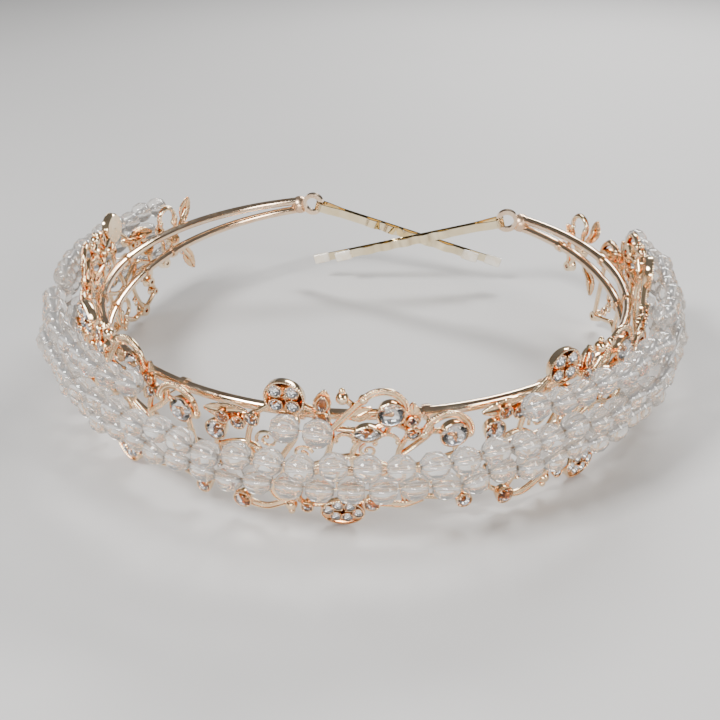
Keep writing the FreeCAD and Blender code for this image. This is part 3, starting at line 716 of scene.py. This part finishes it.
UNIT_CASTING = {
    "plates": ((-5.8, 29.3, 7.6, 7.6), (2.9, 3.15, 8.6, 6.1)),
    "scrolls": ((9.6, 27.2, 4.12, 1.6, -12.0, 142.0), (20.2, 20.4, 4.38, 1.6, -10.0, 170.0),
                (-6.9, 7.2, 2.5, 1.3, 0.0, 360.0), (3.6, 20.2, 1.7, 0.9, 0.0, 180.0),
                (10.3, 19.6, 2.1, 0.9, 0.0, 180.0)),
    "ribs": (((1.6, 23.0), (3.8, 26.0), (6.3, 29.2)),
             ((-14.7, 3.0), (-12.6, 2.3), (-10.4, 2.3), (-7.9, 3.7), (-5.6, 5.4)),
             ((7.8, 5.4), (10.8, 4.9), (13.5, 4.5), (16.4, 5.6))),
    "leaves": ((6.0, 26.4, 4.8, 3.0, 20.0), (14.4, 25.0, 6.0, 3.2, 85.0),
               (-16.7, 23.5, 9.0, 3.4, 10.0), (0.2, 28.6, 5.2, 3.2, 80.0)),
    "balls": ((3.4, 29.9, 2.4), (3.4, 31.4, 1.2), (-6.0, 3.6, 2.4), (-6.0, 2.0, 1.4)),
    "curls": ((-15.8, 12.2, 2.1, 90, 1.3), (-9.4, 18.6, 2.2, 200, -1.3),
              (-3.4, 16.4, 1.9, 20, 1.2), (0.8, 9.4, 2.1, 160, 1.3), (9.0, 13.4, 2.3, 40, -1.3),
              (17.2, 11.4, 2.2, 250, 1.3), (-1.6, 21.4, 1.7, 300, -1.2), (18.4, 8.6, 1.6, 80, 1.2),
              (7.4, 17.8, 1.7, 110, 1.2), (-12.0, 6.6, 1.6, 30, 1.2), (20.2, 6.2, 1.3, 200, -1.1)),
    "stems": (
        ((-4.4, 23.9), (-4.6, 20.0), (-7.4, 14.0), (-6.9, 9.7)),
        ((-11.5, 23.4), (-13.0, 17.0), (-11.2, 10.8), (-14.7, 3.0)),
        ((7.3, 22.3), (4.6, 16.5), (6.0, 10.0), (2.9, 4.4)),
        ((17.3, 23.4), (17.3, 20.6), (12.2, 16.0)),
        ((-18.0, 9.6), (-19.1, 6.5), (-14.7, 3.0)),
        ((-4.8, 7.2), (-3.1, 4.0), (7.8, 5.4)),
        ((16.4, 5.6), (23.6, 3.5)),
        ((-18.4, 19.0), (-16.8, 22.6), (-14.0, 22.0), (-5.8, 29.3)),
        ((-5.8, 29.3), (0.1, 25.6), (1.6, 23.0), (7.3, 22.3)),
        ((3.4, 29.9), (5.1, 28.0)),
        ((6.0, 26.6), (11.0, 26.5)),
        ((7.3, 22.3), (11.0, 23.9), (14.4, 21.8)),
        ((14.4, 21.8), (21.4, 20.3)),
        ((10.3, 21.7), (11.0, 23.9)),
        ((13.3, 26.6), (14.4, 24.6), (14.4, 21.8)),
        ((-18.4, 19.0), (-19.0, 14.5), (-18.0, 9.6)),
        ((-5.8, 29.3), (-4.4, 23.9)),
        ((0.1, 25.6), (1.4, 20.0), (-3.1, 4.0)),
        ((14.4, 21.8), (12.2, 16.0), (13.5, 4.3)),
        ((21.4, 20.3), (23.6, 3.5)),
        ((-19.0, 14.5), (-13.0, 17.0), (-5.6, 12.6), (4.6, 16.5), (12.8, 13.2), (22.1, 15.0)),
    ),
}
SPRAY_CASTING = {
    "plates": (),
    "scrolls": ((1.3, 24.4, 2.7, 1.3, -20.0, 220.0),),
    "ribs": (),
    "leaves": ((4.0, 21.6, 5.0, 2.8, 60.0), (-4.5, 25.0, 7.0, 3.4, 110.0),
               (-4.6, 11.4, 7.0, 3.4, 250.0)),
    "balls": (),
    "curls": ((-2.6, 14.2, 1.8, 60, 1.2),),
    "stems": (((4.0, 21.6), (3.4, 12.6)), ((0.0, 18.0), (4.0, 21.6)), ((0.0, 18.0), (-4.5, 25.0)),
              ((0.0, 18.0), (3.4, 12.6)), ((0.0, 18.0), (-4.6, 11.4)), ((0.0, 18.0), (-1.1, 24.0))),
}


def casting(layout, cup_stones, cluster_stones):
    mesh = Mesh()
    for line in layout["stems"]:
        stem(mesh, line)
    for place in layout["curls"]:
        curl(mesh, *place)
    for place in layout["plates"]:
        plate(mesh, *place)
    for place in layout["leaves"]:
        leaf(mesh, *place)
    for place in layout["scrolls"]:
        scroll(mesh, *place)
    for line in layout["ribs"]:
        rib(mesh, line)
    for angle, height, diameter in layout["balls"]:
        ball(mesh, wrap(angle, height, MIDDLE), diameter / 2, 10, 18)
    for stone in cup_stones:
        cup(mesh, *stone)
    for angle, height, length, _, _ in cluster_stones:
        small_setting(mesh, angle, height, length)
    return mesh


def stones_mesh(stones):
    mesh = Mesh()
    for angle, height, length, width, slope in stones:
        cut_stone(mesh, on_ring(angle, height, SEAT, slope), length, width,
                  pointed=width < 0.8 * length)
    return mesh


def on_plate(stone):
    """Whether a stone stands on one of the unit's flat plates, and so has no cup of its own."""
    angle, height = stone[:2]
    return any(math.hypot(math.radians(angle - a) * FACE, height - z) < 0.45 * max(length, width)
               for a, z, length, width in UNIT_CASTING["plates"])


middle_matrix = unit_matrix(*UNITS["centre"])
to_middle = middle_matrix.inverted()
round_stones = stones_in("centre_round_stones", to_middle)
pave_stones = stones_in("centre_pave_stones", to_middle)
navettes = stones_in("centre_marquise_stones", to_middle)
cluster = [stone for stone in pave_stones if on_plate(stone)]
cupped = round_stones + [stone for stone in pave_stones if not on_plate(stone)] + navettes

unit_data = casting(UNIT_CASTING, cupped, cluster).data("unit_filigree", [rose_cast])
glass_and_foil = [rhinestone, foil]
round_data = stones_mesh(round_stones).data("round_brilliants", glass_and_foil)
pave_data = stones_mesh(pave_stones).data("pave_brilliants", glass_and_foil)
navette_data = stones_mesh(navettes).data("navette_stones", glass_and_foil)
for name, (index, lean) in UNITS.items():
    matrix = unit_matrix(index, lean)
    for label, data, slot, node in (
            ("filigree", unit_data, "rose_gold_cast", "casting"),
            ("brilliants", round_data, "rhinestone", "round_stones"),
            ("pave_brilliants", pave_data, "rhinestone", "pave_stones"),
            ("navettes", navette_data, "rhinestone", "marquise_stones")):
        piece(f"{name}_{label}", data, "band", matrix, [f"{name}_{node}"])

for name, angle in SPRAYS.items():
    matrix = Matrix.Rotation(math.radians(angle), 4, "Z")
    stones = stones_in(f"{name}_spray_stones", matrix.inverted())
    piece(f"{name}_spray_filigree", casting(SPRAY_CASTING, stones, []).data(
        f"{name}_spray_filigree", [rose_cast]), "band", matrix,
        [f"{name}_spray"])
    piece(f"{name}_spray_brilliants", stones_mesh(stones).data(
        f"{name}_spray_brilliants", glass_and_foil), "band", matrix,
        [f"{name}_spray_stones"])

# ---------------------------------------------------------------- crystal beads

BEAD_LENGTH, BEAD_GIRTH = 4.9, 2.7
chance = random.Random(7)


def longest_axis(points, centre):
    """The drilled direction of a bead: its rings of points spread furthest along it."""
    far = [p - centre for p in points]
    axis = AXIS_Z.cross(centre).normalized()
    for _ in range(12):
        total = Vector((0, 0, 0))
        for p in far:
            total += p * p.dot(axis)
        axis = total.normalized()
    return axis


for name in UNITS:
    mesh = Mesh()
    for points in islands(f"{name}_beads"):
        centre = box_centre(points)
        turn_to = AXIS_X.rotation_difference(longest_axis(points, centre)).to_matrix().to_4x4()
        spin = Matrix.Rotation(chance.uniform(0, math.tau), 4, "X")
        crystal_bead(mesh, Matrix.Translation(centre) @ turn_to @ spin, BEAD_LENGTH, BEAD_GIRTH)
    piece(f"{name}_crystals", mesh.data(f"{name}_crystals", [crystal]), "band",
          replaces=[f"{name}_beads"])

# ---------------------------------------------------------------- floor, lights and camera


def area_light(name, place, target, width, height, power, colour=(1.0, 1.0, 1.0)):
    data = bpy.data.lights.new(name, "AREA")
    data.shape = "RECTANGLE"
    data.size, data.size_y = width, height
    data.energy = power
    data.color = colour
    lamp = bpy.data.objects.new(name, data)
    bpy.context.scene.collection.objects.link(lamp)
    lamp.location = place
    aim = Vector(target) - Vector(place)
    lamp.rotation_euler = aim.to_track_quat("-Z", "Y").to_euler()


FLOOR_REACH = 3.0
FLOOR_GAP = 0.00005
floor_data = bpy.data.meshes.new("floor")
floor_data.from_pydata([(x * FLOOR_REACH, y * FLOOR_REACH, 0)
                        for x, y in ((-1, -1), (1, -1), (1, 1), (-1, 1))], [], [(0, 1, 2, 3)])
floor = bpy.data.objects.new("floor", floor_data)
bpy.context.scene.collection.objects.link(floor)
floor.location.z = cad_box[0][2] - FLOOR_GAP
floor_material, floor_tree, floor_shader = new_material("pale_floor")
floor_tree.links.new(ramp(floor_tree, noise(floor_tree, 3.0), (0.3, (0.60, 0.59, 0.58)),
                          (0.7, (0.64, 0.63, 0.62))), floor_shader.inputs["Base Color"])
floor_shader.inputs["Roughness"].default_value = 0.6
floor_data.materials.append(floor_material)

middle = Vector((0, 0, 0.015))
area_light("key_softbox", (-0.32, -0.38, 0.55), middle, 0.22, 0.16, 6.5)
area_light("fill_softbox", (0.50, -0.20, 0.30), middle, 0.16, 0.30, 2.2, (1.0, 0.97, 0.93))
area_light("back_softbox", (0.10, 0.55, 0.38), middle, 0.36, 0.10, 4.2)
area_light("low_front_card", (0.05, -0.52, 0.12), middle, 0.30, 0.05, 1.3)

world = bpy.data.worlds.new("studio")
world.use_nodes = True
world.node_tree.nodes["Background"].inputs["Color"].default_value = (0.60, 0.61, 0.63, 1.0)
world.node_tree.nodes["Background"].inputs["Strength"].default_value = 0.22
bpy.context.scene.world = world

TARGET = Vector((-1.12, 0.0, 1.24)) * MM
AZIMUTH, ELEVATION = math.radians(13.73), math.radians(28.0)
DISTANCE = 0.2508
FOCAL_LENGTH, SENSOR = 51.5, 36.0
back_to_camera = Vector((math.sin(AZIMUTH) * math.cos(ELEVATION),
                         -math.cos(AZIMUTH) * math.cos(ELEVATION), math.sin(ELEVATION)))
camera_data = bpy.data.cameras.new("camera")
camera_data.sensor_width = SENSOR
camera_data.lens = FOCAL_LENGTH
camera_data.clip_start = 0.01
camera = bpy.data.objects.new("camera", camera_data)
bpy.context.scene.collection.objects.link(camera)
camera.location = TARGET + back_to_camera * DISTANCE
camera.rotation_euler = (-back_to_camera).to_track_quat("-Z", "Y").to_euler()
bpy.context.scene.camera = camera
